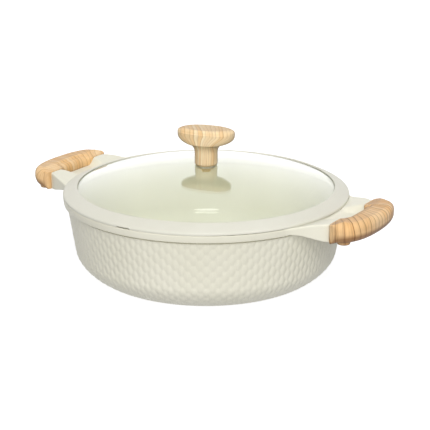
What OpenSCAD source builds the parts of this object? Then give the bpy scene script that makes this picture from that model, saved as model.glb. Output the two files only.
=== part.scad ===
// Low two-handled casserole with a silicone-rimmed glass lid.
// Origin: middle of the base, on the surface that the pan stands on.
// +Z is up, and the two grips lie along +X and -X. Millimetres.

/* [Pan] */
// Radius of the rim, which is also the lid's radius
rim_r = 145; // [130:1:160]
// Height of the rim's top face
rim_z = 84; // [76:1:110]
// Radius of the flat base
base_r = 100; // [90:1:104]
// Thickness of the cast side wall
wall_t = 3.5; // [3:0.25:4]
// Thickness of the cast base
floor_t = 5.5; // [4.5:0.5:7]
// Height of the plain band under the rim
band_h = 7.5; // [6:0.5:9]

/* [Grips] */
// How far the grips' inner ends stand out from the rim
grip_gap = 19.5; // [17:0.5:22]
// Length of a grip from its inner ends to its outer face
grip_reach = 32; // [30:0.5:36]
// Width of a grip across its inner ends
grip_w = 91; // [90:0.5:94]
// Height of a grip at its inner ends
grip_h = 16.5; // [15:0.5:18]
// Extra height that a grip rises to along its middle
grip_crown = 3; // [2:0.5:4]
// Distance from a grip's middle to each of its screws
screw_y = 40; // [38:0.5:40.5]

/* [Lid] */
// Height of the dome above the glass edge that the ring hides
dome_rise = 22.5; // [18:0.5:30]
// Thickness of the glass
glass_t = 4; // [3:0.5:5]
// Width of the visible slope of the silicone ring
ring_w = 14.5; // [13:0.5:16]
// Length of each steam notch along the ring
notch_l = 15; // [10:1:20]

/* [Knob] */
// Length of the knob's cap, along the line between the grips
cap_l = 59.5; // [54:0.5:66]
// Width of the knob's cap
cap_w = 31; // [28:1:36]
// Radius of the knob's stem at its foot
stem_r = 11.6; // [11:0.2:12.4]
// Height of the knob above the glass
knob_h = 37.5; // [35:0.5:44]
// How far the knob is turned from the line between the grips, in degrees
knob_turn = 11; // [0:1:90]

/* [Hidden] */
$fn = 96;

// Pan: outer and inner wall
band_low_r = rim_r - 2.3;
wall_top_r = rim_r - 3.8;
wall_low_r = rim_r - 11.4;
corner_z = 26.5;
groove_r = rim_r - 4.6;
groove_h = 1.2;
mouth_r = rim_r - 7;
inner_low_r = wall_low_r - wall_t;
inner_corner_z = corner_z + 1.5;
inner_floor_r = base_r - 2;
edge = 0.6;
CURVE_STEPS = 12;

// Stainless plate pressed into the base
plate_r = 88;
plate_t = 1;
peg_r = 2.6;
peg_rings = 5;
ring_step = 15;

// Lugs and grips, measured out along +X
lug_x = rim_r + grip_gap;
lug_root_angle = 27;
lug_top = rim_z + 5.3;
lug_bottom = rim_z - 12.5;
web_top = rim_z - 3;
web_bottom = rim_z - 8;
tongue_x = lug_x + 23;
tongue_w = 89;
arm_y_in = 26;
arm_y_out = 45.4;
arm_round = 2.4;
grip_top = rim_z + 6;
grip_bottom = grip_top - grip_h;
grip_out = lug_x + grip_reach;
bay_depth = 4;
screw_x = lug_x + 11.5;

// Grip screws, from below
boss_r = 6.2;
boss_drop = 1.6;
head_r = 4.2;
head_h = 2.6;
shank_r = 2.5;
washer_t = 1;
insert_r = 3.9;
insert_h = 5;
clear_r = 2.8;
key_r = 1.7;
key_depth = 1.6;

// Lid
seat_gap = 0.3;
ring_z = rim_z + seat_gap;
glass_edge_r = rim_r - 10;
ring_in_r = rim_r - ring_w - 0.35;
glass_edge_z = rim_z + 6;
glass_top_z = glass_edge_z + dome_rise;
dome_r = (glass_edge_r * glass_edge_r + dome_rise * dome_rise) / (2 * dome_rise);
skirt_r = mouth_r - 0.6;
skirt_t = 4;
skirt_drop = 6;
hole_r = 4.2;
notch_h = 1.3;

// Knob and its screw
gasket_t = 1;
gasket_r = stem_r - 0.7;
stem_z = glass_top_z + gasket_t;
cap_top = glass_top_z + knob_h;
cap_z = cap_top - 19.5;
knob_insert_r = 4.5;
knob_insert_h = 12;
knob_bore = 14;
seal_r = 9;
seal_t = 1.5;
knob_washer_r = 8;
knob_washer_t = 1;
knob_head_r = 4.6;
knob_head_h = 3;

CREAM = [0.90, 0.89, 0.85];
WOOD = [0.82, 0.68, 0.50];
STEEL = [0.72, 0.73, 0.74];
BRASS = [0.78, 0.66, 0.38];
SILICONE = [0.83, 0.82, 0.77];
DARK = [0.22, 0.18, 0.15];

// ---------- helpers ----------

// Point at t on the cubic curve a, b, c, d
function curve_at(a, b, c, d, t) =
    pow(1 - t, 3) * a + 3 * pow(1 - t, 2) * t * b + 3 * (1 - t) * t * t * c + t * t * t * d;

// Points along that curve, both ends included
function curve(a, b, c, d, steps = CURVE_STEPS) =
    [for (i = [0 : steps]) curve_at(a, b, c, d, i / steps)];

// Wall-to-base corner, from the base up: leaves the base level and joins the wall's slope
function corner(foot_r, foot_z, top_r, top_z, lean) =
    let (rise = top_z - foot_z)
    curve([foot_r, foot_z],
          [foot_r + 0.44 * (top_r - foot_r), foot_z],
          [top_r - 0.4 * rise * lean, top_z - 0.4 * rise],
          [top_r, top_z]);

// Mirror image across the YZ plane of whatever is drawn for the right-hand side
module left_side() {
    mirror([1, 0, 0]) children();
}

// Repeats a right-hand fitting at both of a grip's screw places
module at_screws() {
    for (side = [-1, 1]) translate([screw_x, side * screw_y, 0]) children();
}

// ---------- pan ----------

wall_lean = (wall_top_r - wall_low_r) / (rim_z - band_h - corner_z);

// Half section of the bowl
module bowl_section() {
    polygon(concat(
        [[0, 0]],
        corner(base_r, 0, wall_low_r, corner_z, wall_lean),
        [
            [wall_top_r, rim_z - band_h - groove_h],
            [groove_r, rim_z - band_h - groove_h + 0.3],
            [groove_r, rim_z - band_h],
            [band_low_r, rim_z - band_h],
            [rim_r - 0.5, rim_z - 3],
            [rim_r, rim_z - 1.2],
            [rim_r - edge, rim_z],
            [mouth_r + edge, rim_z],
            [mouth_r, rim_z - edge]
        ],
        [for (p = [CURVE_STEPS : -1 : 0])
            corner(inner_floor_r, floor_t, inner_low_r, inner_corner_z, wall_lean)[p]],
        [[0, floor_t]]
    ));
}

// Centres of the holes in the base plate
plate_holes = [
    for (ring = [1 : peg_rings], i = [0 : 6 * ring - 1])
        let (a = i * 60 / ring)
        ring * ring_step * [cos(a), sin(a)]
];

// Outline of a lug seen from above, with the tongue that goes into the grip
module lug_outline() {
    root = rim_r * [cos(lug_root_angle), sin(lug_root_angle)];
    tangent = [sin(lug_root_angle), -cos(lug_root_angle)];
    tip = [lug_x, arm_y_out];
    side = curve(root, root + 10.5 * tangent, tip + [-9.5, 8], tip, 8);
    half = concat([[rim_r - 30, 0], [rim_r - 30, root[1]]], side,
        [[lug_x + 4, tongue_w / 2], [tongue_x - 10, tongue_w / 2],
         [tongue_x, tongue_w / 2 - 12], [tongue_x, 0]]);
    polygon(half);
    mirror([0, 1]) polygon(half);
}

// One of a lug's two raised arms, from the rim to the grip's end face
module lug_arm() {
    hull() {
        for (y = [arm_y_in + arm_round, arm_y_out - arm_round],
             z = [lug_bottom + arm_round, lug_top - arm_round])
            translate([lug_x - 1, y, z])
                rotate([0, 90, 0]) cylinder(r = arm_round, h = 1, $fn = 32);
        for (y = [arm_y_in, arm_y_out + 15], z = [rim_z - 6, rim_z - 3.2])
            translate([rim_r - 9, y, z])
                rotate([0, 90, 0]) cylinder(r = 1.4, h = 1, $fn = 32);
    }
}

module lug() {
    translate([0, 0, web_bottom]) linear_extrude(web_top - web_bottom) lug_outline();
    lug_arm();
    mirror([0, 1, 0]) lug_arm();
}

module pan_body() {
    color(CREAM)
    difference() {
        union() {
            rotate_extrude() bowl_section();
            difference() {
                union() {
                    lug();
                    left_side() lug();
                }
                cylinder(r = mouth_r + 2, h = rim_z + 10);
                at_screws() cylinder(r = clear_r, h = rim_z);
                left_side() at_screws() cylinder(r = clear_r, h = rim_z);
            }
        }
        difference() {
            translate([0, 0, -1]) cylinder(r = plate_r, h = plate_t + 1);
            for (p = plate_holes)
                translate([p[0], p[1], -2]) cylinder(r = peg_r, h = plate_t + 3, $fn = 32);
        }
    }
}

module induction_plate() {
    color(STEEL)
    difference() {
        cylinder(r = plate_r, h = plate_t);
        for (p = plate_holes)
            translate([p[0], p[1], -1]) cylinder(r = peg_r, h = plate_t + 2, $fn = 32);
    }
}

// ---------- grips ----------

// A level slice of the grip: a crescent from x0 to x1, half_w to each side at its inner ends
module grip_slab(z, x0, x1, half_w) {
    half = concat(
        [[x0, 0]],
        [[x0, half_w]],
        curve([x0 + 2, half_w + 1.8], [x0 + 10, half_w + 11.5], [x1, half_w + 3], [x1, 0], 14));
    translate([0, 0, z]) linear_extrude(0.1) {
        polygon(half);
        mirror([0, 1]) polygon(half);
    }
}

module grip_form() {
    half_w = grip_w / 2;
    hull() {
        grip_slab(grip_bottom, lug_x, grip_out - 9.5, half_w - 2.5);
        grip_slab(grip_bottom + 0.2 * grip_h, lug_x, grip_out - 2.8, half_w - 0.6);
        grip_slab(grip_bottom + 0.55 * grip_h, lug_x, grip_out, half_w);
        grip_slab(grip_top - 2.5, lug_x, grip_out - 0.2, half_w);
        grip_slab(grip_top - 0.1, lug_x + 0.4, grip_out - 1.2, half_w - 0.6);
        grip_slab(grip_top + grip_crown - 0.8, lug_x + 9, grip_out - 3.5, half_w - 5);
        grip_slab(grip_top + grip_crown - 0.1, lug_x + 13, grip_out - 6, half_w - 9);
    }
}

// Shallow bay in the grip's inner side, between its two ends
module grip_bay() {
    half = curve([lug_x + bay_depth, arm_y_in - 10], [lug_x + bay_depth, arm_y_in - 5],
                 [lug_x + 1.5, arm_y_in - 3], [lug_x - 1, arm_y_in], 8);
    linear_extrude(rim_z + 20) {
        polygon(concat([[lug_x - 5, 0], [lug_x + bay_depth, 0]], half, [[lug_x - 5, arm_y_in]]));
        mirror([0, 1])
            polygon(concat([[lug_x - 5, 0], [lug_x + bay_depth, 0]], half,
                           [[lug_x - 5, arm_y_in]]));
    }
}

insert_z = web_top;
counterbore_z = grip_bottom + 1.4;

module right_grip() {
    color(WOOD)
    difference() {
        union() {
            grip_form();
            at_screws() translate([0, 0, grip_bottom - boss_drop])
                cylinder(r = boss_r, h = boss_drop + 2);
        }
        grip_bay();
        translate([0, 0, web_bottom]) linear_extrude(web_top - web_bottom) lug_outline();
        at_screws() {
            translate([0, 0, grip_bottom - boss_drop - 1])
                cylinder(r = head_r + 0.5, h = counterbore_z - grip_bottom + boss_drop + 1);
            translate([0, 0, grip_bottom]) cylinder(r = clear_r, h = web_bottom - grip_bottom + 1);
            translate([0, 0, insert_z - 1]) cylinder(r = insert_r, h = insert_h + 1);
        }
    }
}

module left_grip() {
    left_side() right_grip();
}

// Brass threaded bush above the tongue
module right_grip_inserts() {
    color(BRASS)
    at_screws() translate([0, 0, insert_z])
        difference() {
            cylinder(r = insert_r, h = insert_h);
            translate([0, 0, -1]) cylinder(r = shank_r, h = insert_h - 0.2);
        }
}

module left_grip_inserts() {
    left_side() right_grip_inserts();
}

washer_z = counterbore_z - washer_t;

module right_grip_washers() {
    color(STEEL)
    at_screws() translate([0, 0, washer_z])
        difference() {
            cylinder(r = head_r, h = washer_t);
            translate([0, 0, -1]) cylinder(r = shank_r + 0.2, h = washer_t + 2);
        }
}

module left_grip_washers() {
    left_side() right_grip_washers();
}

// Pan-head screw with its head below z = 0 and a hexagon socket in it
module screw(head_radius, head_height, shank_radius, shank_length) {
    difference() {
        union() {
            translate([0, 0, -head_height]) cylinder(r = head_radius, h = head_height);
            cylinder(r = shank_radius, h = shank_length);
        }
        translate([0, 0, -head_height - 1]) cylinder(r = key_r, h = key_depth + 1, $fn = 6);
    }
}

module right_grip_screws() {
    color(STEEL)
    at_screws() translate([0, 0, washer_z])
        screw(head_r, head_h, shank_r, insert_z + insert_h - 1.6 - washer_z);
}

module left_grip_screws() {
    left_side() right_grip_screws();
}

// ---------- lid ----------

// Height of the dome's upper face at radius r
function dome_z(r) = glass_top_z - dome_r + sqrt(dome_r * dome_r - r * r);

module lid_glass() {
    color([0.85, 0.90, 0.88, 0.35])
    intersection() {
        difference() {
            translate([0, 0, glass_top_z - dome_r]) sphere(r = dome_r, $fn = 200);
            translate([0, 0, glass_top_z - glass_t - dome_r]) sphere(r = dome_r, $fn = 200);
            cylinder(r = hole_r, h = glass_top_z + 10);
        }
        cylinder(r = glass_edge_r, h = glass_top_z + 10);
    }
}

// Half section of the silicone ring, before the channel for the glass is cut
module ring_section() {
    polygon([
        [rim_r - edge, ring_z],
        [rim_r, ring_z + edge],
        [rim_r, ring_z + 1.4],
        [rim_r - 0.7, ring_z + 2.4],
        [ring_in_r + 1.4, dome_z(ring_in_r) + 0.9],
        [ring_in_r + 0.4, dome_z(ring_in_r) + 0.7],
        [ring_in_r, dome_z(ring_in_r) - 0.2],
        [ring_in_r, dome_z(ring_in_r) - glass_t - 0.6],
        [skirt_r - skirt_t, rim_z - 1],
        [skirt_r - skirt_t + 1, rim_z - skirt_drop],
        [skirt_r - 1.2, rim_z - skirt_drop],
        [skirt_r, rim_z - skirt_drop + 1.5],
        [skirt_r, ring_z]
    ]);
}

module silicone_rim() {
    color(SILICONE)
    difference() {
        rotate_extrude() ring_section();
        intersection() {
            difference() {
                translate([0, 0, glass_top_z - dome_r]) sphere(r = dome_r, $fn = 200);
                translate([0, 0, glass_top_z - glass_t - dome_r]) sphere(r = dome_r, $fn = 200);
            }
            cylinder(r = glass_edge_r, h = glass_top_z + 10);
        }
        for (side = [-1, 1])
            translate([-notch_l / 2, side > 0 ? mouth_r - 12 : -rim_r - 1, rim_z - skirt_drop - 1])
                cube([notch_l, rim_r - mouth_r + 13, skirt_drop + 1 + seat_gap + notch_h]);
    }
}

// ---------- knob ----------

// Half section of the stem, flaring into the cap
module stem_section() {
    polygon(concat(
        [[0, stem_z], [stem_r - 0.4, stem_z], [stem_r, stem_z + 0.8]],
        curve([stem_r - 0.2, cap_z - 6], [stem_r - 0.2, cap_z - 3],
              [stem_r + 0.5, cap_z - 0.5], [stem_r + 2.5, cap_z + 1.5], 6),
        [[0, cap_z + 1.5]]
    ));
}

// A level slice of the cap: length, width and height
module cap_slab(z, length, width) {
    r = width / 2;
    for (side = [-1, 1])
        translate([side * (length / 2 - r), 0, z]) cylinder(r = r, h = 0.1, $fn = 48);
}

module knob() {
    color(WOOD)
    difference() {
        union() {
            rotate_extrude() stem_section();
            rotate([0, 0, knob_turn]) hull() {
                cap_slab(cap_z + 1, 0.42 * cap_l, 0.76 * cap_w);
                cap_slab(cap_z + 3, 0.64 * cap_l, 0.84 * cap_w);
                cap_slab(cap_z + 6, 0.84 * cap_l, 0.92 * cap_w);
                cap_slab(cap_z + 10, 0.96 * cap_l, 0.98 * cap_w);
                cap_slab(cap_z + 16.3, cap_l, cap_w);
                cap_slab(cap_z + 18.2, 0.92 * cap_l, 0.96 * cap_w);
                cap_slab(cap_top - 0.1, 0.62 * cap_l, 0.7 * cap_w);
            }
        }
        translate([0, 0, stem_z - 1]) cylinder(r = knob_insert_r, h = knob_insert_h + 1);
        translate([0, 0, stem_z]) cylinder(r = shank_r + 0.3, h = knob_bore);
    }
}

module knob_insert() {
    color(BRASS)
    translate([0, 0, stem_z])
        difference() {
            cylinder(r = knob_insert_r, h = knob_insert_h);
            translate([0, 0, -1]) cylinder(r = shank_r, h = knob_insert_h + 2);
        }
}

module knob_gasket() {
    color(DARK)
    rotate_extrude()
        polygon([
            [hole_r, dome_z(hole_r)], [gasket_r, dome_z(gasket_r)],
            [gasket_r, stem_z], [hole_r, stem_z]
        ]);
}

seal_z = glass_top_z - glass_t - seal_t;

// Seal below the glass, with a sleeve that keeps the screw off the glass
module screw_gasket() {
    color(SILICONE)
    rotate_extrude()
        polygon([
            [shank_r, seal_z], [seal_r, seal_z],
            [seal_r, dome_z(seal_r) - glass_t], [hole_r, dome_z(hole_r) - glass_t],
            [hole_r, stem_z], [shank_r, stem_z]
        ]);
}

module knob_washer() {
    color(STEEL)
    translate([0, 0, seal_z - knob_washer_t])
        difference() {
            cylinder(r = knob_washer_r, h = knob_washer_t);
            translate([0, 0, -1]) cylinder(r = shank_r + 0.2, h = knob_washer_t + 2);
        }
}

module knob_screw() {
    color(STEEL)
    translate([0, 0, seal_z - knob_washer_t])
        screw(knob_head_r, knob_head_h, shank_r,
              stem_z + knob_insert_h - 1 - seal_z + knob_washer_t);
}

// ---------- assembly ----------

pan_body();
induction_plate();
right_grip();
left_grip();
right_grip_inserts();
left_grip_inserts();
right_grip_screws();
left_grip_screws();
right_grip_washers();
left_grip_washers();
lid_glass();
silicone_rim();
knob();
knob_insert();
knob_gasket();
screw_gasket();
knob_washer();
knob_screw();
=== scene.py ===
"""Low two-handled casserole with a glass lid: the looks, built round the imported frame."""
import math

import bmesh
import bpy
import numpy as np
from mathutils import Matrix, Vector


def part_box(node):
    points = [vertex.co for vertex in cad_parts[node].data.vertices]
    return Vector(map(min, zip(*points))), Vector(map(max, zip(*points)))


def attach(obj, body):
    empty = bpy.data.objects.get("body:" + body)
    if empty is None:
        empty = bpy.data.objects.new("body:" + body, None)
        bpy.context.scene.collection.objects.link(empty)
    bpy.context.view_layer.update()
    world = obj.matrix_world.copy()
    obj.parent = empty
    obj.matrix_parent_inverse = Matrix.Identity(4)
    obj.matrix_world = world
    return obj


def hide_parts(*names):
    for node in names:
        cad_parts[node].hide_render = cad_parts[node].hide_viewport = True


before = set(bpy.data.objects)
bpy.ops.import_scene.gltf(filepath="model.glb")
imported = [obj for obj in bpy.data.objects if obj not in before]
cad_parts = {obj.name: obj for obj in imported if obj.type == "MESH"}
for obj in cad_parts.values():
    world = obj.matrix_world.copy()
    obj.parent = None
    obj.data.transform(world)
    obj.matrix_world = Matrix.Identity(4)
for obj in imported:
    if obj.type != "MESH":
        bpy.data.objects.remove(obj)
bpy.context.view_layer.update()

MM = 0.001

# ---------------------------------------------------------------- sizes, in millimetres


def low(node):
    return np.array(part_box(node)[0]) / MM


def high(node):
    return np.array(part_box(node)[1]) / MM


RIM_R = high("silicone_rim")[0]
LUG_TOP = high("pan_body")[2]
LUG_X = low("right_grip")[0]
GRIP_OUT = high("right_grip")[0]
LUG_RISE = 5.3
RIM_Z = LUG_TOP - LUG_RISE
GRIP_TOP = LUG_TOP + 0.7
GRIP_CREST = high("right_grip")[2]
GRIP_BOTTOM = RIM_Z - 10.5
GLASS_TOP = high("lid_glass")[2]
GLASS_EDGE_R = high("lid_glass")[0]
SCREW_HEAD_R = 4.2
SCREW_Y = (high("right_grip_screws")[1] - low("right_grip_screws")[1]) / 2 - SCREW_HEAD_R
SCREW_X = (high("right_grip_screws")[0] + low("right_grip_screws")[0]) / 2
STEM_Z = low("knob")[2]
KNOB_TOP = high("knob")[2]

# ---------------------------------------------------------------- curves and meshes


def bezier(a, b, c, d, count):
    """count + 1 points on a cubic curve, both ends included."""
    t = np.linspace(0, 1, count + 1)[:, None]
    a, b, c, d = (np.array(p, float) for p in (a, b, c, d))
    return (1 - t) ** 3 * a + 3 * (1 - t) ** 2 * t * b + 3 * (1 - t) * t**2 * c + t**3 * d


def chain(*parts):
    """Joins runs of points into one, without repeating a shared end."""
    points = []
    for part in parts:
        for p in np.atleast_2d(np.array(part, float)):
            if not points or np.hypot(*(p - points[-1])) > 1e-6:
                points.append(p)
    return np.array(points)


def smooth_step(low_value, high_value, x):
    t = np.clip((x - low_value) / (high_value - low_value), 0, 1)
    return t * t * (3 - 2 * t)


def run_lengths(points):
    """Distance along a run of points from its first point to each one."""
    return np.concatenate([[0], np.cumsum(np.hypot(*np.diff(points, axis=0).T))])


def evenly(points, count):
    """The same run as count + 1 points an equal way apart."""
    along = run_lengths(points)
    at = np.linspace(0, along[-1], count + 1)
    return np.stack([np.interp(at, along, points[:, k]) for k in range(2)], 1)


def quarter(share):
    """Inset of a quarter round, for a share of its height from 0 to 1."""
    return 1 - np.sqrt(np.clip(1 - np.clip(share, 0, 1) ** 2, 0, 1))


def rounded(points, radii, steps):
    """A run of points with its corners rounded by curves, one radius for each point."""
    out = [points[0]]
    for i in range(1, len(points) - 1):
        before, here, after = (np.array(points[k], float) for k in (i - 1, i, i + 1))
        r = radii[i]
        if r <= 0:
            out.append(here)
            continue
        back = before - here
        on = after - here
        r_back = min(r, 0.49 * np.hypot(*back))
        r_on = min(r, 0.49 * np.hypot(*on))
        start = here + back / np.hypot(*back) * r_back
        end = here + on / np.hypot(*on) * r_on
        out.extend(bezier(start, here + (start - here) * 0.45,
                          here + (end - here) * 0.45, end, steps))
    out.append(points[-1])
    return chain(*out)


def add_object(name, verts, faces):
    """A mesh object from points in millimetres."""
    mesh = bpy.data.meshes.new(name)
    mesh.from_pydata([tuple(v) for v in np.asarray(verts) * MM], [], faces)
    mesh.validate()
    obj = bpy.data.objects.new(name, mesh)
    bpy.context.scene.collection.objects.link(obj)
    tidy_normals(obj)
    return obj


def tidy_normals(obj):
    bm = bmesh.new()
    bm.from_mesh(obj.data)
    bmesh.ops.remove_doubles(bm, verts=bm.verts, dist=1e-7)
    bmesh.ops.recalc_face_normals(bm, faces=bm.faces)
    bm.to_mesh(obj.data)
    bm.free()


def shade(obj, sharp_deg=40):
    """Smooth shading, with a crisp edge where faces meet at more than sharp_deg."""
    bm = bmesh.new()
    bm.from_mesh(obj.data)
    limit = math.radians(sharp_deg)
    for face in bm.faces:
        face.smooth = True
    for edge in bm.edges:
        edge.smooth = not (edge.is_manifold and edge.calc_face_angle(0) > limit)
    bm.to_mesh(obj.data)
    bm.free()
    return obj


def grid_faces(rows, columns, close_rows=False, close_columns=False):
    faces = []
    for i in range(rows if close_rows else rows - 1):
        for j in range(columns if close_columns else columns - 1):
            a = i * columns + j
            b = i * columns + (j + 1) % columns
            c = (i + 1) % rows * columns + (j + 1) % columns
            d = (i + 1) % rows * columns + j
            faces.append((a, b, c, d))
    return faces


def revolve(name, profile, segments, closed=False):
    """Turns (radius, height) points round the Z axis. A point at radius 0 becomes the axis."""
    profile = np.asarray(profile, float)
    angle = np.arange(segments) * 2 * math.pi / segments
    verts = np.empty((len(profile), segments, 3))
    verts[:, :, 0] = profile[:, :1] * np.cos(angle)
    verts[:, :, 1] = profile[:, :1] * np.sin(angle)
    verts[:, :, 2] = profile[:, 1:]
    faces = grid_faces(len(profile), segments, close_rows=closed, close_columns=True)
    return add_object(name, verts.reshape(-1, 3), faces)


def combine(obj, other, operation):
    """Boolean of two closed meshes; the other one is used up."""
    modifier = obj.modifiers.new("combine", "BOOLEAN")
    modifier.operation = operation
    modifier.solver = "MANIFOLD"
    modifier.object = other
    graph = bpy.context.evaluated_depsgraph_get()
    result = bpy.data.meshes.new_from_object(obj.evaluated_get(graph))
    obj.modifiers.clear()
    obj.data = result
    bpy.data.objects.remove(other)
    return obj


def mirrored(obj, name):
    """A copy of a right-hand piece, mirrored to the left."""
    copy = bpy.data.objects.new(name, obj.data.copy())
    bpy.context.scene.collection.objects.link(copy)
    bm = bmesh.new()
    bm.from_mesh(copy.data)
    for v in bm.verts:
        v.co.x = -v.co.x
    bmesh.ops.reverse_faces(bm, faces=bm.faces)
    bm.to_mesh(copy.data)
    bm.free()
    return copy


# ---------------------------------------------------------------- pan casting

BASE_R = 100.0
BAND_H = 6.9
BAND_LEAN = 0.6
GROOVE_H = 2.1
CORNER_Z = 26.5
WALL_T = 3.5
FLOOR_T = 5.5
PLATE_R = high("induction_plate")[0]
PLATE_T = high("induction_plate")[2]
WALL_TOP = np.array([RIM_R - 3.8, RIM_Z - BAND_H - GROOVE_H])
WALL_LOW = np.array([RIM_R - 11.4, CORNER_Z])
GROOVE_D = 1.9
MOUTH_R = RIM_R - 7
ARM_END_Y = 45.4

ARM_DEPTH = 12.8
ROOT_ANGLE = math.radians(27)

WEAVE_COLUMNS = 144
WEAVE_PITCH = 11.7
WEAVE_DEPTH = 0.66
WEAVE_STEPS = 8
WALL_STEP = 0.85


def corner(foot, top, count):
    """From the base out and up into the wall, in line with the wall's lean."""
    rise = top[1] - foot[1]
    lean = (WALL_TOP[0] - WALL_LOW[0]) / (RIM_Z - BAND_H - CORNER_Z)
    return bezier(foot, (foot[0] + 0.44 * (top[0] - foot[0]), foot[1]),
                  (top[0] - 0.4 * rise * lean, top[1] - 0.4 * rise), top, count)


def weave(column, row):
    """Height of the woven relief of staggered lozenges, 0 in the gaps to 1 on the crowns.

    column counts lozenge centres round the pan; row counts lozenge lengths down the wall."""
    across = np.abs((column + 1) % 2 - 1)
    along = 2 * np.abs((row + 0.5) % 1 - 0.5)
    even = 1 - across**1.5 - 0.45 * along**2
    odd = 1 - (1 - across) ** 1.5 - 0.45 * (1 - along) ** 2
    return np.clip(2 * np.maximum(even, odd) - 1, 0, 1)


def pan_bowl():
    """Bowl of revolution, with the weave pressed into its outer wall."""
    wall = chain(corner((BASE_R, 0), WALL_LOW, 40), [WALL_TOP])
    wall = evenly(wall, int(round(run_lengths(wall)[-1] / WALL_STEP)))
    band = rounded([
        WALL_TOP, (WALL_TOP[0] - GROOVE_D, WALL_TOP[1] + 0.1),
        (WALL_TOP[0] - GROOVE_D, RIM_Z - BAND_H),
        (RIM_R - BAND_LEAN, RIM_Z - BAND_H), (RIM_R - 0.1, RIM_Z - 3), (RIM_R, RIM_Z - 0.8),
        (RIM_R - 0.35, RIM_Z), (MOUTH_R + 0.8, RIM_Z), (MOUTH_R, RIM_Z - 0.8),
        (WALL_LOW[0] - WALL_T, CORNER_Z + 1.5)],
        [0, 0.2, 0.2, 0.4, 2, 0.4, 0.3, 0.8, 0.8, 0], 4)
    inside = corner((BASE_R - 2, FLOOR_T), (WALL_LOW[0] - WALL_T, CORNER_Z + 1.5), 24)[::-1]
    under = [(0, PLATE_T), (PLATE_R, PLATE_T), (PLATE_R, 0.3), (PLATE_R + 0.3, 0)]
    profile = chain(under, wall, band, inside, [(60, FLOOR_T), (0, FLOOR_T)])
    first = len(under)
    count = len(wall)

    segments = WEAVE_COLUMNS * WEAVE_STEPS
    angle = np.arange(segments) * 2 * math.pi / segments
    radius = np.repeat(profile[:, :1], segments, 1)
    height = np.repeat(profile[:, 1:], segments, 1)

    outer = profile[first:first + count]
    slope = np.gradient(outer, axis=0)
    normal = np.stack([slope[:, 1], -slope[:, 0]], 1)
    normal /= np.hypot(*normal.T)[:, None]
    run = run_lengths(outer[::-1])[::-1]
    column = np.arange(segments)[None, :] / WEAVE_STEPS
    relief = weave(column + 0 * run[:, None], run[:, None] / WEAVE_PITCH + 0 * column)
    fade = smooth_step(2, 9, outer[:, 1]) * smooth_step(0, 1.2, run)
    sink = WEAVE_DEPTH * fade[:, None] * (1 - relief)
    radius[first:first + count] -= sink * normal[:, :1]
    height[first:first + count] -= sink * normal[:, 1:]

    verts = np.stack([radius * np.cos(angle), radius * np.sin(angle), height], 2)
    faces = grid_faces(len(profile), segments, close_columns=True)
    return add_object("pan_casting", verts.reshape(-1, 3), faces)


def lug_plan(reach, steps=56):
    """Plan of the right lug: rows run out from the rim, columns across it from side to side."""
    inner_r = MOUTH_R + 2.5
    root = RIM_R * np.array([math.cos(ROOT_ANGLE), math.sin(ROOT_ANGLE)])
    tangent = np.array([math.sin(ROOT_ANGLE), -math.cos(ROOT_ANGLE)])
    tip = np.array([LUG_X, ARM_END_Y])
    across = np.linspace(-1, 1, 121)
    across = np.sign(across) * np.abs(across) ** 0.8
    side = bezier(root - 3 * tangent, root + 10.5 * tangent, tip + (-9.5, 8), tip, steps - 4)
    side = np.concatenate([side, tip + (reach - tip) * np.linspace(0.25, 1, 4)[:, None]])
    t = np.linspace(0, 1, steps + 1)

    plan = np.empty((steps + 1, len(across), 2))
    for j, s in enumerate(across):
        start = inner_r * np.array([math.cos(ROOT_ANGLE * s), math.sin(ROOT_ANGLE * s)])
        end = np.array([reach[0], reach[1] * s])
        run = start + (end - start) * t[:, None]
        edge_run = side * (1, np.sign(s) if s else 1)
        share = abs(s) ** 3
        plan[:, j] = run * (1 - share) + (edge_run * (1, abs(s))) * share
    return plan


def slab(name, upper, lower, strip):
    """Closed mesh between two grids of points; strip is how far from the top and bottom edges
    its side faces are split, so that they shade flat."""
    rows, columns = upper.shape[:2]
    offset = rows * columns
    verts = np.concatenate([upper.reshape(-1, 3), lower.reshape(-1, 3)])
    faces = grid_faces(rows, columns)
    faces += [tuple(offset + k for k in face[::-1]) for face in grid_faces(rows, columns)]
    border = list(range(columns))
    border += [i * columns + columns - 1 for i in range(1, rows)]
    border += [(rows - 1) * columns + j for j in range(columns - 2, -1, -1)]
    border += [i * columns for i in range(rows - 2, 0, -1)]
    high_edge = verts[border]
    low_edge = verts[[offset + k for k in border]]
    share = strip / (high_edge[:, 2:] - low_edge[:, 2:])
    first = len(verts)
    count = len(border)
    verts = np.concatenate([verts, high_edge + (low_edge - high_edge) * share,
                            low_edge + (high_edge - low_edge) * share])
    for i in range(count):
        k = (i + 1) % count
        a, b = border[i], border[k]
        faces.append((a, first + i, first + k, b))
        faces.append((first + i, first + count + i, first + count + k, first + k))
        faces.append((first + count + i, offset + a, offset + b, first + count + k))
    return add_object(name, verts, faces)


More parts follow.
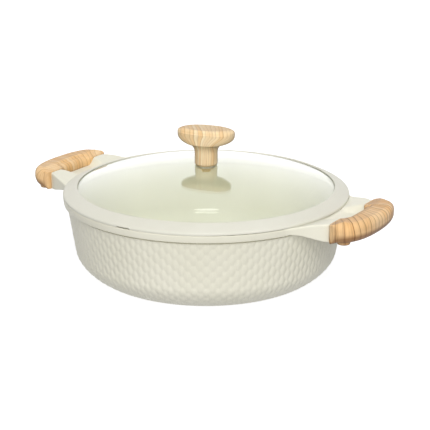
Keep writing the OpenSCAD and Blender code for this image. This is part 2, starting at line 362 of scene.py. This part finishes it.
def lug():
    """Right-hand lug: two flat-topped arms, with a recess between them, run out of the rim."""
    plan = lug_plan(np.array([LUG_X + 2.5, ARM_END_Y - 1.2]))
    x = plan[..., 0]
    y = plan[..., 1]
    out = np.hypot(x, y) - RIM_R

    climb = smooth_step(-5, 23, out) ** 0.8
    top_arm = RIM_Z - 0.3 + (LUG_RISE + 0.3) * climb
    top_web = RIM_Z - 0.3 - 2.7 * smooth_step(0, 7, out)
    arm = smooth_step(21, 30, np.abs(y) + 0.28 * (LUG_X - x))
    top = top_web + arm * (top_arm - top_web)
    low_arm = RIM_Z - BAND_H + 0.3 - (ARM_DEPTH - BAND_H) * smooth_step(0, 27, out)
    low_web = RIM_Z - BAND_H - 0.5 * smooth_step(0, 15, out)
    bottom = low_web + smooth_step(16, 32, np.abs(y)) * (low_arm - low_web)

    width = np.maximum(np.abs(plan[:, -1, 1])[:, None], 1)
    edge = np.clip((np.abs(y) - (width - 2.2)) / 2.2, 0, 1)
    fold = 1 - np.sqrt(np.clip(1 - edge**2.2, 0, 1))
    top = top - 1.5 * fold
    bottom = bottom + fold

    inset = BAND_LEAN * smooth_step(-4.5, -1, out) * (1 - smooth_step(1, 14, out))
    narrow = 1 - inset / np.hypot(x, y)
    upper = np.stack([x, y, top], 2)
    lower = np.stack([x * narrow, y * narrow, bottom], 2)
    return slab("lug", upper, lower, 0.6)


def pan_casting():
    pan = pan_bowl()
    right = lug()
    left = mirrored(right, "left_lug")
    combine(pan, right, "UNION")
    combine(pan, left, "UNION")
    shade(pan, 50)
    return pan


# ---------------------------------------------------------------- grips

GRIP_HALF_W = 50.0
BOSS_R = 6.2
BOSS_DROP = 2.4
BOSS_SIDES = 48
BORE_R = 4.7


def grip_outline(count):
    """Plan outline of the right grip, a crescent, starting in the middle of its inner side."""
    bay = LUG_X + 4
    start = LUG_X + 3.2
    half = chain(
        bezier((bay, 0), (bay, 14), (bay, 20), (LUG_X + 1.5, 23.5), 16),
        bezier((LUG_X + 1.5, 23.5), (LUG_X + 0.4, 25), (LUG_X, 26), (LUG_X, 28), 8),
        [(LUG_X, ARM_END_Y)],
        bezier((LUG_X, ARM_END_Y), (LUG_X + 0.2, ARM_END_Y + 2.4),
               (LUG_X + 0.9, GRIP_HALF_W - 0.4), (start, GRIP_HALF_W + 0.3), 10),
        bezier((start, GRIP_HALF_W + 0.3), (start + 13, GRIP_HALF_W + 4.6),
               (GRIP_OUT, GRIP_HALF_W - 2), (GRIP_OUT, 0), 40))
    return evenly(chain(half, half[::-1] * (1, -1)), count)[:-1]


def outward(points):
    """Unit normals of a closed plan outline, evened out along it."""
    slope = np.roll(points, -1, 0) - np.roll(points, 1, 0)
    normal = np.stack([slope[:, 1], -slope[:, 0]], 1)
    if np.sum(normal * (points - points.mean(0))) < 0:
        normal = -normal
    normal /= np.hypot(*normal.T)[:, None]
    for _ in range(3):
        normal = normal + np.roll(normal, 1, 0) + np.roll(normal, -1, 0)
        normal /= np.hypot(*normal.T)[:, None]
    return normal


def grip_height(x):
    """Height of the grip's top: lowest at its inner ends, with a crest along its middle."""
    return GRIP_TOP + (GRIP_CREST - GRIP_TOP) * smooth_step(LUG_X - 2, LUG_X + 14, x)


def right_grip():
    outline = grip_outline(320)
    normal = outward(outline)
    facing_out = smooth_step(LUG_X + 2, LUG_X + 26, outline[:, 0]) * (normal[:, 0] > -0.2)
    bay = np.clip(-normal[:, 0], 0, 1) * (1 - smooth_step(18, 27, np.abs(outline[:, 1])))
    flush = 1 - smooth_step(LUG_X, LUG_X + 9, outline[:, 0])
    flush = flush * smooth_step(22, 28, np.abs(outline[:, 1]))
    undercut = (3.3 + 4.9 * facing_out) * (1 - flush) + 0.1
    top_r = 1.2 + 5.2 * facing_out + 18 * facing_out * (1 - facing_out) + 4.5 * bay
    top_r = top_r * (1 - flush) + 0.5
    foot = GRIP_BOTTOM - 1.6 * flush
    tall = grip_height(outline[:, 0]) - foot

    rings = []
    for w in np.concatenate([np.linspace(0, 0.5, 18), np.linspace(0.52, 0.86, 14),
                             1 - np.linspace(0.36, 0, 16) ** 2]):
        rise = tall * w
        inset = undercut * quarter(0.99 * (1 - rise / (0.50 * tall)))
        inset = inset + top_r * quarter(1 - (tall - rise) / top_r)
        inset = inset + 1.2 * (1 - flush) * quarter(1 - rise / 1.4)
        ring = outline - normal * inset[:, None]
        rings.append(np.column_stack([ring, foot + rise]))

    def cap(ring, on_top):
        """Closes a ring with ever smaller ones, down to a line along the bar's middle."""
        spine = np.column_stack([
            LUG_X + 17.5 - 0.004 * ring[:, 1] ** 2, np.clip(ring[:, 1], -33, 33)])
        out = []
        for t in (0.06, 0.15, 0.3, 0.5, 0.75, 1.0):
            flat = ring[:, :2] * (1 - t) + spine * t
            z = ring[:, 2]
            if on_top:
                z = z * (1 - t) + grip_height(flat[:, 0]) * t
                z = np.maximum(z, grip_height(flat[:, 0]) * min(1, 3 * t) + z * (1 - min(1, 3 * t)))
            out.append(np.column_stack([flat, z]))
        return out

    layers = cap(rings[0], False)[::-1] + rings + cap(rings[-1], True)
    faces = grid_faces(len(layers), len(outline), close_columns=True)
    return add_object("right_grip_moulding", np.concatenate(layers), faces)


def screw_bosses():
    """Short round bosses under the right grip, one round each screw, open below for its head."""
    profile = [(BORE_R, 3.0), (BORE_R, 0.3), (BORE_R + 0.2, 0.05), (BORE_R + 0.5, 0.0),
               (BOSS_R - 0.5, 0.1), (BOSS_R - 0.15, 0.5), (BOSS_R, 1.1), (BOSS_R + 0.25, 3.4),
               (BOSS_R + 0.6, 4.2)]
    turns = np.arange(BOSS_SIDES) * 2 * math.pi / BOSS_SIDES
    verts = []
    faces = []
    for side in (-1, 1):
        start = len(verts)
        for r, depth in profile:
            for t in turns:
                verts.append((SCREW_X + r * math.cos(t), side * SCREW_Y + r * math.sin(t),
                              GRIP_BOTTOM - BOSS_DROP + depth))
        for face in grid_faces(len(profile), BOSS_SIDES, close_columns=True):
            faces.append(tuple(start + k for k in face))
        faces.append(tuple(start + j for j in range(BOSS_SIDES)))
    return add_object("right_grip_bosses", verts, faces)


# ---------------------------------------------------------------- lid

DOME_RISE = 22.5
DOME_R = (GLASS_EDGE_R**2 + DOME_RISE**2) / (2 * DOME_RISE)
GLASS_T = 4.0
GLASS_HOLE_R = 4.2
RING_IN_R = RIM_R - 14.85
SEAT_GAP = 0.3
SKIRT_DROP = 6.0
NOTCH_L = 15.0
NOTCH_H = 1.3
SEAM_LIFT = 0.6


def dome(radius):
    """Height of the glass's upper face at a distance from the lid's axis."""
    return GLASS_TOP - DOME_R + np.sqrt(DOME_R**2 - np.square(radius))


def lid_glass():
    """Dome of even thickness, with the screw's hole in its middle."""
    radii = np.linspace(GLASS_HOLE_R, GLASS_EDGE_R, 60)
    top = np.column_stack([radii, dome(radii)])
    bottom = np.column_stack([radii, dome(radii) - GLASS_T])[::-1]
    profile = chain(top, bottom)
    return shade(revolve("glass_dome", profile, 256, closed=True), 40)


def lift_seam(ring):
    """The lip round the ring's lower edge stands a little higher off the pan over both lugs."""
    for v in ring.data.vertices:
        radius = math.hypot(v.co.x, v.co.y)
        if v.co.z < (RIM_Z + 0.6) * MM and radius > (RIM_R - 2.7) * MM:
            v.co.z += SEAM_LIFT * MM * float(smooth_step(0.4, 0.8, abs(v.co.x) / radius))


def silicone_ring():
    """Ring round the glass, with a skirt inside the pan and two steam notches in its seam."""
    inner_z = float(dome(RING_IN_R))
    base_z = RIM_Z + SEAT_GAP
    channel_r = GLASS_EDGE_R + 0.3
    skirt_r = MOUTH_R - 0.6
    outside = rounded([
        (channel_r, base_z + 1.0), (skirt_r - 1.2, base_z + 0.6), (skirt_r, base_z),
        (RIM_R - 3, base_z), (RIM_R - 2.5, RIM_Z + 0.08), (RIM_R - 0.3, RIM_Z + 0.08),
        (RIM_R, RIM_Z + 0.5), (RIM_R, base_z + 1.9), (RIM_R - 1.6, base_z + 3.2),
        (RING_IN_R + 1.7, inner_z + 1.3), (RING_IN_R, inner_z + 0.9), (RING_IN_R, inner_z - 0.1),
        (channel_r, dome(channel_r))],
        [0, 0.3, 0.2, 0.2, 0.1, 0.1, 0.3, 0.9, 1.2, 0.9, 0.5, 0.2, 0], 5)
    lower = [(channel_r, dome(channel_r) - GLASS_T), (RING_IN_R + 0.2, inner_z - GLASS_T - 0.1),
             (skirt_r - 4, RIM_Z - 1), (skirt_r - 3, RIM_Z - SKIRT_DROP),
             (skirt_r - 1.2, RIM_Z - SKIRT_DROP), (skirt_r, RIM_Z - SKIRT_DROP + 1.5),
             (skirt_r, base_z - 0.05)]
    profile = chain(outside, lower)
    ring = revolve("silicone_ring", profile, 720, closed=True)
    for v in ring.data.vertices:
        near_seam = v.co.z < (base_z + 0.7) * MM and math.hypot(v.co.x, v.co.y) > skirt_r * MM
        if near_seam and abs(v.co.x) < NOTCH_L / 2 * MM:
            v.co.z = (base_z + NOTCH_H) * MM
    lift_seam(ring)
    return shade(ring, 40)


# ---------------------------------------------------------------- knob

KNOB_TURN = 11.0


def turned(points, degrees):
    """Plan points turned about the origin."""
    a = math.radians(degrees)
    return points @ np.array([[math.cos(a), math.sin(a)], [-math.sin(a), math.cos(a)]])


def knob():
    """Round stem that flares into a long, flat-topped cap, turned a little on its screw."""
    half_l = 29.7
    half_w = 15.6
    edge_h = 3.2
    edge_z = KNOB_TOP - STEM_Z - edge_h
    under_z = 17.2
    stem_r = 11.6
    squareness = 2.35
    levels = np.concatenate([
        [0, 0.25, 0.6], np.linspace(1.5, 10, 8), np.linspace(10.5, under_z, 16),
        under_z + (edge_z - under_z) * np.linspace(0.01, 1, 40) ** 1.5,
        edge_z + edge_h * np.sin(np.linspace(0.04, math.pi / 2, 18))])
    sections = []
    for z in levels:
        flare = 2.2 * np.clip((z - under_z + 6) / 7, 0, 1.5) ** 2.4
        stem = stem_r + flare - 0.35 * np.clip(1 - z / 0.6, 0, 1)
        if z <= under_z:
            a = b = stem
        elif z < edge_z:
            full = 1 - ((edge_z - z) / (edge_z - under_z)) ** 3.8
            a = max(half_l * full, stem)
            b = max(half_w * full, stem)
        else:
            fall = quarter((z - edge_z) / edge_h)
            a = half_l - 11.0 * fall
            b = half_w - edge_h * fall
        power = 2.0 + (squareness - 2.0) * smooth_step(stem_r, stem_r + 8, a)
        sections.append((z, a, b, power))
    return knob_mesh(sections, 144)


def knob_mesh(sections, segments):
    """Mesh through oval sections, each a height, two half-widths and how square it is."""
    angle = np.arange(segments) * 2 * math.pi / segments
    c = np.cos(angle)
    s = np.sin(angle)
    layers = []
    for z, a, b, power in sections:
        x = a * np.sign(c) * np.abs(c) ** (2 / power)
        y = b * np.sign(s) * np.abs(s) ** (2 / power)
        layers.append(np.column_stack([x, y, np.full(segments, STEM_Z + z)]))
    last = layers[-1]
    for t in (0.15, 0.4, 0.7, 1.0):
        layers.append(np.column_stack([last[:, :2] * (1 - t), last[:, 2]]))
    layers.insert(0, np.column_stack([layers[0][:, :2] * 0, layers[0][:, 2]]))
    verts = np.concatenate(layers)
    verts[:, :2] = turned(verts[:, :2], KNOB_TURN)
    faces = grid_faces(len(layers), segments, close_columns=True)
    return shade(add_object("knob_moulding", verts, faces), 60)


# ---------------------------------------------------------------- materials


def linear(r, g, b):
    """An sRGB colour of 0 to 255 as linear RGBA."""
    out = []
    for v in (r, g, b):
        v = v / 255
        out.append(v / 12.92 if v <= 0.04045 else ((v + 0.055) / 1.055) ** 2.4)
    return (*out, 1.0)


class Nodes:
    """Short hand for building a node tree."""

    def __init__(self, tree):
        self.tree = tree

    def add(self, kind, **settings):
        node = self.tree.nodes.new(kind)
        for key, value in settings.items():
            setattr(node, key, value)
        return node

    def link(self, start, end):
        self.tree.links.new(start, end)

    def math(self, operation, a, b=0.0, c=0.0):
        node = self.add("ShaderNodeMath", operation=operation)
        for socket, value in zip(node.inputs, (a, b, c)):
            if isinstance(value, (int, float)):
                socket.default_value = value
            else:
                self.link(value, socket)
        return node.outputs[0]

    def noise(self, vector, scale, detail=2.0, roughness=0.5):
        node = self.add("ShaderNodeTexNoise")
        node.inputs["Scale"].default_value = scale
        node.inputs["Detail"].default_value = detail
        node.inputs["Roughness"].default_value = roughness
        self.link(vector, node.inputs["Vector"])
        return node.outputs["Fac"]

    def combine(self, x, y, z):
        node = self.add("ShaderNodeCombineXYZ")
        for socket, value in zip(node.inputs, (x, y, z)):
            if isinstance(value, (int, float)):
                socket.default_value = value
            else:
                self.link(value, socket)
        return node.outputs[0]

    def ramp(self, fac, stops):
        node = self.add("ShaderNodeValToRGB")
        ramp = node.color_ramp
        while len(ramp.elements) < len(stops):
            ramp.elements.new(0.5)
        for element, (at, colour) in zip(ramp.elements, stops):
            element.position = at
            element.color = colour
        self.link(fac, node.inputs[0])
        return node.outputs[0]

    def mix(self, fac, a, b, blend="MIX"):
        node = self.add("ShaderNodeMix", data_type="RGBA", blend_type=blend)
        for socket, value in ((node.inputs[0], fac), (node.inputs[6], a), (node.inputs[7], b)):
            if isinstance(value, (int, float, tuple)):
                socket.default_value = value
            else:
                self.link(value, socket)
        return node.outputs[2]

    def dot(self, vector, fixed):
        node = self.add("ShaderNodeVectorMath", operation="DOT_PRODUCT")
        self.link(vector, node.inputs[0])
        node.inputs[1].default_value = fixed
        return node.outputs["Value"]


class MaterialNodes(Nodes):
    """A new material and its node tree."""

    def __init__(self, name):
        self.material = bpy.data.materials.new(name)
        self.material.use_nodes = True
        super().__init__(self.material.node_tree)
        self.shader = self.tree.nodes["Principled BSDF"]
        self.output = self.tree.nodes["Material Output"]

    def bump(self, height, strength, distance):
        node = self.add("ShaderNodeBump")
        node.inputs["Strength"].default_value = strength
        node.inputs["Distance"].default_value = distance
        self.link(height, node.inputs["Height"])
        self.link(node.outputs[0], self.shader.inputs["Normal"])

    def object_position(self):
        return self.add("ShaderNodeTexCoord").outputs["Object"]


def coating_material():
    n = MaterialNodes("cream_coating")
    where = n.object_position()
    cloud = n.noise(where, 22, 3)
    grit = n.noise(where, 1500, 2)
    n.link(n.ramp(cloud, [(0.3, linear(229, 226, 207)), (0.7, linear(234, 231, 214))]),
           n.shader.inputs["Base Color"])
    n.link(n.math("MULTIPLY_ADD", cloud, 0.12, 0.34), n.shader.inputs["Roughness"])
    n.shader.inputs["Specular IOR Level"].default_value = 0.35
    n.bump(grit, 0.12, 0.0002)
    return n.material


def silicone_material():
    n = MaterialNodes("cream_silicone")
    where = n.object_position()
    cloud = n.noise(where, 30, 3)
    grain = n.noise(where, 900, 2)
    n.link(n.ramp(cloud, [(0.3, linear(220, 218, 204)), (0.7, linear(225, 223, 210))]),
           n.shader.inputs["Base Color"])
    n.link(n.math("MULTIPLY_ADD", cloud, 0.1, 0.42), n.shader.inputs["Roughness"])
    n.shader.inputs["Specular IOR Level"].default_value = 0.3
    n.bump(grain, 0.1, 0.0002)
    return n.material


def glass_material():
    n = MaterialNodes("tempered_glass")
    n.shader.inputs["Base Color"].default_value = (0.84, 0.86, 0.815, 1)
    n.shader.inputs["Transmission Weight"].default_value = 1.0
    n.shader.inputs["IOR"].default_value = 1.5
    smear = n.noise(n.object_position(), 8, 2)
    n.link(n.math("MULTIPLY", smear, 0.02), n.shader.inputs["Roughness"])
    clear = n.add("ShaderNodeBsdfTransparent")
    clear.inputs[0].default_value = (0.80, 0.82, 0.785, 1)
    path = n.add("ShaderNodeLightPath")
    mix = n.add("ShaderNodeMixShader")
    n.link(path.outputs["Is Shadow Ray"], mix.inputs[0])
    n.link(n.shader.outputs[0], mix.inputs[1])
    n.link(clear.outputs[0], mix.inputs[2])
    n.link(mix.outputs[0], n.output.inputs["Surface"])
    return n.material


def tinted(colour, *factors):
    """A colour with its red, green and blue each multiplied."""
    return tuple(v * k for v, k in zip(colour, (*factors, 1)))


def wood_material(name, pitch, light, dark, depth, shaded):
    """Printed wood grain: growth lines about pitch apart across the piece's "grain" attribute.

    light and dark are the colours between and on the lines; depth is how strong the lines are.
    A shaded one also gets painted shade, darker on faces that point down; every one gets painted
    shade darker where its surface turns edge-on to the view."""
    n = MaterialNodes(name)
    grain = n.add("ShaderNodeAttribute", attribute_name="grain")
    split = n.add("ShaderNodeSeparateXYZ")
    n.link(grain.outputs["Vector"], split.inputs[0])
    s, t, z = split.outputs

    def field(across, along, detail, rough=0.5):
        """Noise that changes along the grain lines much more slowly than across them."""
        place_in = n.combine(n.math("MULTIPLY", s, across), n.math("MULTIPLY", t, along),
                             n.math("MULTIPLY", z, along))
        return n.noise(place_in, 1.0, detail, rough)

    bend = field(0.05, 0.035, 1)
    sway = field(0.16, 0.03, 1)
    s1 = n.math("MULTIPLY_ADD", bend, 7.0, n.math("MULTIPLY_ADD", sway, 3.0, s))
    band = n.math("MULTIPLY", s1, 1 / pitch)
    line = n.math("FRACT", band)
    fine_band = n.math("MULTIPLY", s1, 3.3 / pitch)
    fine = n.math("FRACT", fine_band)
    chance = n.add("ShaderNodeTexWhiteNoise", noise_dimensions="1D")
    n.link(n.math("FLOOR", band), chance.inputs["W"])
    fine_chance = n.add("ShaderNodeTexWhiteNoise", noise_dimensions="1D")
    n.link(n.math("FLOOR", fine_band), fine_chance.inputs["W"])
    fibre = field(1.5, 0.10, 3, 0.65)
    patch = field(0.10, 0.07, 2)

    colour = n.ramp(chance.outputs["Value"], [
        (0.0, light), (0.45, tinted(light, 0.97, 0.91, 0.82)),
        (0.8, tinted(light, 0.94, 0.83, 0.68))])
    flush = n.ramp(patch, [(0.35, (0.93, 0.86, 0.74, 1)), (0.62, (1, 1, 1, 1))])
    colour = n.mix(0.6, colour, flush, "MULTIPLY")
    late = n.ramp(line, [(0.0, (0.7, 0.7, 0.7, 1)), (0.06, (0, 0, 0, 1)), (0.5, (0, 0, 0, 1)),
                         (0.84, (0.2, 0.2, 0.2, 1)), (0.965, (1, 1, 1, 1))])
    strength = n.math("MULTIPLY_ADD", chance.outputs["Value"], 0.5 * depth, 0.5 * depth)
    colour = n.mix(n.math("MULTIPLY", late, strength), colour, dark)
    thin = n.ramp(fine, [(0.0, (0.6, 0.6, 0.6, 1)), (0.2, (0, 0, 0, 1)), (0.6, (0.1, 0.1, 0.1, 1)),
                         (0.97, (1, 1, 1, 1))])
    thin_strength = n.math("MULTIPLY", fine_chance.outputs["Value"], 0.45 * depth)
    colour = n.mix(n.math("MULTIPLY", thin, thin_strength), colour, dark)
    streak = n.ramp(fibre, [(0.35, (0.84, 0.81, 0.76, 1)), (0.62, (1, 1, 1, 1))])
    colour = n.mix(0.5, colour, streak, "MULTIPLY")
    # Painted shade: the wood colour is darkened where its surface turns edge-on to the view.
    turn = n.add("ShaderNodeLayerWeight")
    painted_edge_shade = n.ramp(turn.outputs["Facing"], [(0.62, (1, 1, 1, 1)), (0.96, (0.40, 0.31, 0.22, 1))])
    colour = n.mix(1.0, colour, painted_edge_shade, "MULTIPLY")
    # Painted shade: the wood colour is darkened on faces that point downward, as if shaded from
    # above.
    if shaded:
        facing = n.add("ShaderNodeSeparateXYZ")
        n.link(n.add("ShaderNodeNewGeometry").outputs["Normal"], facing.inputs[0])
        under = n.ramp(n.math("MULTIPLY_ADD", facing.outputs[2], 0.5, 0.5),
                       [(0.34, (0.42, 0.34, 0.27, 1)), (0.50, (1, 1, 1, 1))])
        colour = n.mix(1.0, colour, under, "MULTIPLY")
    n.link(colour, n.shader.inputs["Base Color"])
    n.link(n.math("MULTIPLY_ADD", fibre, 0.16, 0.42), n.shader.inputs["Roughness"])
    n.shader.inputs["Specular IOR Level"].default_value = 0.3
    n.bump(fibre, 0.06, 0.0003)
    return n.material


def metal_material(name, colour, roughness, ringed):
    """Metal with fine streaks, which run in rings round the Z axis if it is ringed."""
    n = MaterialNodes(name)
    where = n.object_position()
    split = n.add("ShaderNodeSeparateXYZ")
    n.link(where, split.inputs[0])
    if ringed:
        square = n.math("ADD", n.math("POWER", split.outputs[0], 2.0),
                        n.math("POWER", split.outputs[1], 2.0))
        radius = n.math("SQRT", square)
        streak = n.noise(n.combine(n.math("MULTIPLY", radius, 2200.0), 0.0, 0.0), 1.0, 2)
    else:
        streak = n.noise(where, 900, 3)
    n.shader.inputs["Metallic"].default_value = 1.0
    light = tuple(min(1, c * 1.06) for c in colour)
    dark = tuple(c * 0.9 for c in colour)
    n.link(n.ramp(streak, [(0.3, (*dark, 1)), (0.7, (*light, 1))]), n.shader.inputs["Base Color"])
    n.link(n.math("MULTIPLY_ADD", streak, 0.18, roughness), n.shader.inputs["Roughness"])
    n.bump(streak, 0.08, 0.0001)
    return n.material


def tan_silicone_material():
    n = MaterialNodes("tan_silicone")
    grain = n.noise(n.object_position(), 700, 2)
    n.link(n.ramp(grain, [(0.3, linear(182, 156, 114)), (0.7, linear(196, 170, 128))]),
           n.shader.inputs["Base Color"])
    n.link(n.math("MULTIPLY_ADD", grain, 0.1, 0.5), n.shader.inputs["Roughness"])
    n.bump(grain, 0.1, 0.0002)
    return n.material


def floor_material():
    n = MaterialNodes("studio_floor")
    n.shader.inputs["Base Color"].default_value = (0.4, 0.4, 0.4, 1)
    n.shader.inputs["Roughness"].default_value = 0.9
    n.shader.inputs["Specular IOR Level"].default_value = 0.0
    n.shader.inputs["Emission Color"].default_value = (1, 1, 1, 1)
    n.shader.inputs["Emission Strength"].default_value = 0.85
    return n.material


def paint(obj, material):
    obj.data.materials.clear()
    obj.data.materials.append(material)


def set_grain(obj, function):
    """Stores each vertex's place in the wood: function takes (x, y, z) in millimetres."""
    co = np.empty(len(obj.data.vertices) * 3)
    obj.data.vertices.foreach_get("co", co)
    co = co.reshape(-1, 3) / MM
    values = function(co).astype(np.float32)
    layer = obj.data.attributes.new("grain", "FLOAT_VECTOR", "POINT")
    layer.data.foreach_set("vector", values.ravel())


def fan_grain(centre, spread):
    """Grain lines that fan out from a point in plan; spread sets how far apart they are."""
    def grain(co):
        x = co[:, 0] - centre[0]
        y = co[:, 1] - centre[1]
        side = 1 if centre[0] > 0 else -1
        across = np.arctan2(y, side * x) * spread + 0.14 * co[:, 2]
        return np.column_stack([across, np.hypot(x, y), co[:, 2]])
    return grain


def knob_grain(co):
    """Grain lines across the knob's cap that draw together toward the stem and run down it."""
    own = turned(co[:, :2], -KNOB_TURN)
    down = np.clip((KNOB_TOP - 5 - co[:, 2]) / 15, 0, 1)
    spread = 1 + 1.1 * smooth_step(0, 1, down)
    return np.column_stack([(own[:, 0] - 4) * spread + 0.5 * own[:, 1] * (1 - down) + 90,
                            own[:, 1], co[:, 2]])


# ---------------------------------------------------------------- pieces

COATING = coating_material()
SILICONE = silicone_material()
GLASS = glass_material()
WOOD = wood_material("wood_effect", 7.0, linear(250, 216, 169), linear(142, 88, 38), 0.95, True)
FAINT_WOOD = wood_material(
    "wood_effect_faint", 6.0, linear(250, 218, 172), linear(158, 108, 60), 0.55, True)
KNOB_WOOD = wood_material(
    "wood_effect_knob", 4.2, linear(255, 235, 198), linear(176, 124, 76), 0.65, False)
STEEL_PLATE = metal_material("turned_steel", (0.62, 0.62, 0.61), 0.25, True)
STEEL = metal_material("screw_steel", (0.66, 0.66, 0.66), 0.2, False)
BRASS = metal_material("brass", (0.80, 0.62, 0.30), 0.22, False)
TAN_SILICONE = tan_silicone_material()


def place(piece, body, node, material):
    paint(piece, material)
    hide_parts(node)
    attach(piece, body)


casting = pan_casting()
place(casting, "pan", "pan_body", COATING)

grip_r = right_grip()
grip_l = mirrored(grip_r, "left_grip_moulding")
bosses_r = screw_bosses()
bosses_l = mirrored(bosses_r, "left_grip_bosses")
for grip, boss, node, grain, wood in (
        (grip_r, bosses_r, "right_grip", fan_grain((136, 20), 74), WOOD),
        (grip_l, bosses_l, "left_grip", fan_grain((-118, -10), 70), FAINT_WOOD)):
    for piece in (grip, boss):
        set_grain(piece, grain)
        shade(piece, 45)
        place(piece, "pan", node, wood)

dome_piece = lid_glass()
place(dome_piece, "lid", "lid_glass", GLASS)
ring_piece = silicone_ring()
place(ring_piece, "lid", "silicone_rim", SILICONE)
knob_piece = knob()
set_grain(knob_piece, knob_grain)
place(knob_piece, "lid", "knob", KNOB_WOOD)

paint(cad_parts["induction_plate"], STEEL_PLATE)
for name in ("right_grip_screws", "left_grip_screws", "right_grip_washers",
             "left_grip_washers"):
    paint(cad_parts[name], STEEL)
for name in ("right_grip_inserts", "left_grip_inserts", "knob_insert", "knob_washer",
             "knob_screw"):
    paint(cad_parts[name], BRASS)
paint(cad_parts["knob_gasket"], TAN_SILICONE)
paint(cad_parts["screw_gasket"], SILICONE)

# ---------------------------------------------------------------- studio

VIEW_AZIMUTH = math.radians(32.33)
VIEW_ELEVATION = math.radians(16.63)
VIEW_DISTANCE = 1.318
VIEW_LENS = 108.36
VIEW_SHIFT = (0.0206, -0.0559)
AIM = Vector((0, 0, RIM_Z * MM))

FILL = 0.275
FILL_FRONT = 0.31
FILL_TOP = -0.03
FILL_LEAST = 0.2
FILL_TURN = math.radians(-4)
CARD_AZIMUTH = math.radians(92)
WHITE = 1.62


def toward(azimuth, elevation):
    """Unit vector from the object toward a place; azimuth 0 is the front, -Y."""
    return Vector((math.sin(azimuth) * math.cos(elevation),
                   -math.cos(azimuth) * math.cos(elevation), math.sin(elevation)))


def aimed(name, data, direction, distance):
    """A camera or light that looks at the middle of the rim from a distance."""
    obj = bpy.data.objects.new(name, data)
    bpy.context.scene.collection.objects.link(obj)
    obj.location = AIM + direction * distance
    obj.rotation_euler = (AIM - obj.location).to_track_quat("-Z", "Y").to_euler()
    return obj


def camera():
    data = bpy.data.cameras.new("camera")
    data.sensor_width = 36
    data.lens = VIEW_LENS
    data.shift_x, data.shift_y = VIEW_SHIFT
    data.clip_start = 0.05
    direction = toward(VIEW_AZIMUTH, VIEW_ELEVATION)
    bpy.context.scene.camera = aimed("camera", data, direction, VIEW_DISTANCE)


def white_room():
    """White all round to the eye, mirror and glass; the light on matt surfaces comes mostly
    from the front, and a dark card stands at either side."""
    world = bpy.data.worlds.new("studio")
    bpy.context.scene.world = world
    world.use_nodes = True
    world.cycles.sampling_method = "NONE"
    n = Nodes(world.node_tree)
    way = n.add("ShaderNodeTexCoord").outputs["Generated"]
    lean = (1.5 * FILL_FRONT * toward(VIEW_AZIMUTH + FILL_TURN, 0)
            + 1.5 * FILL_TOP * Vector((0, 0, 1)))
    fill = n.math("MAXIMUM", n.math("ADD", n.dot(way, lean), FILL), FILL_LEAST)
    aside = n.math("ABSOLUTE", n.dot(way, toward(VIEW_AZIMUTH + CARD_AZIMUTH, 0)))
    card = n.add("ShaderNodeMapRange", interpolation_type="SMOOTHSTEP")
    n.link(aside, card.inputs["Value"])
    for socket, value in (("From Min", 0.62), ("From Max", 0.92), ("To Min", 1.0),
                          ("To Max", 0.15)):
        card.inputs[socket].default_value = value
    on_matt = n.math("GREATER_THAN", n.add("ShaderNodeLightPath").outputs["Diffuse Depth"], 0.5)
    level = n.add("ShaderNodeMix")
    n.link(on_matt, level.inputs["Factor"])
    level.inputs["A"].default_value = WHITE
    n.link(n.math("MULTIPLY", fill, card.outputs["Result"]), level.inputs["B"])
    back = n.tree.nodes["Background"]
    back.inputs["Color"].default_value = (1, 1, 1, 1)
    n.link(level.outputs["Result"], back.inputs["Strength"])


def soft_sun(name, elevation_deg, energy):
    """Broad soft light from the camera's side; glass and gloss don't mirror it."""
    sun = bpy.data.lights.new(name, "SUN")
    sun.energy = energy
    sun.angle = math.radians(40)
    direction = toward(VIEW_AZIMUTH, math.radians(elevation_deg))
    aimed(name, sun, direction, 2).visible_glossy = False


def back_lamp():
    """Small oval lamp behind the pan, which leaves the one highlight on the glass."""
    lamp = bpy.data.lights.new("back_lamp", "AREA")
    lamp.shape = "ELLIPSE"
    lamp.size = 0.15
    lamp.size_y = 0.032
    lamp.energy = 0.036
    aimed("back_lamp", lamp, toward(VIEW_AZIMUTH + math.pi, math.radians(51)), 1.5)


def white_floor():
    bpy.ops.mesh.primitive_plane_add(size=16, location=(0, 0, -0.0003))
    floor = bpy.context.object
    floor.name = "studio_floor"
    floor.data.materials.append(floor_material())
    floor.visible_diffuse = False


camera()
white_room()
soft_sun("front_light", 32, 1.6)
soft_sun("top_light", 88, 0.95)
back_lamp()
white_floor()
bpy.context.scene.view_settings.view_transform = "Standard"
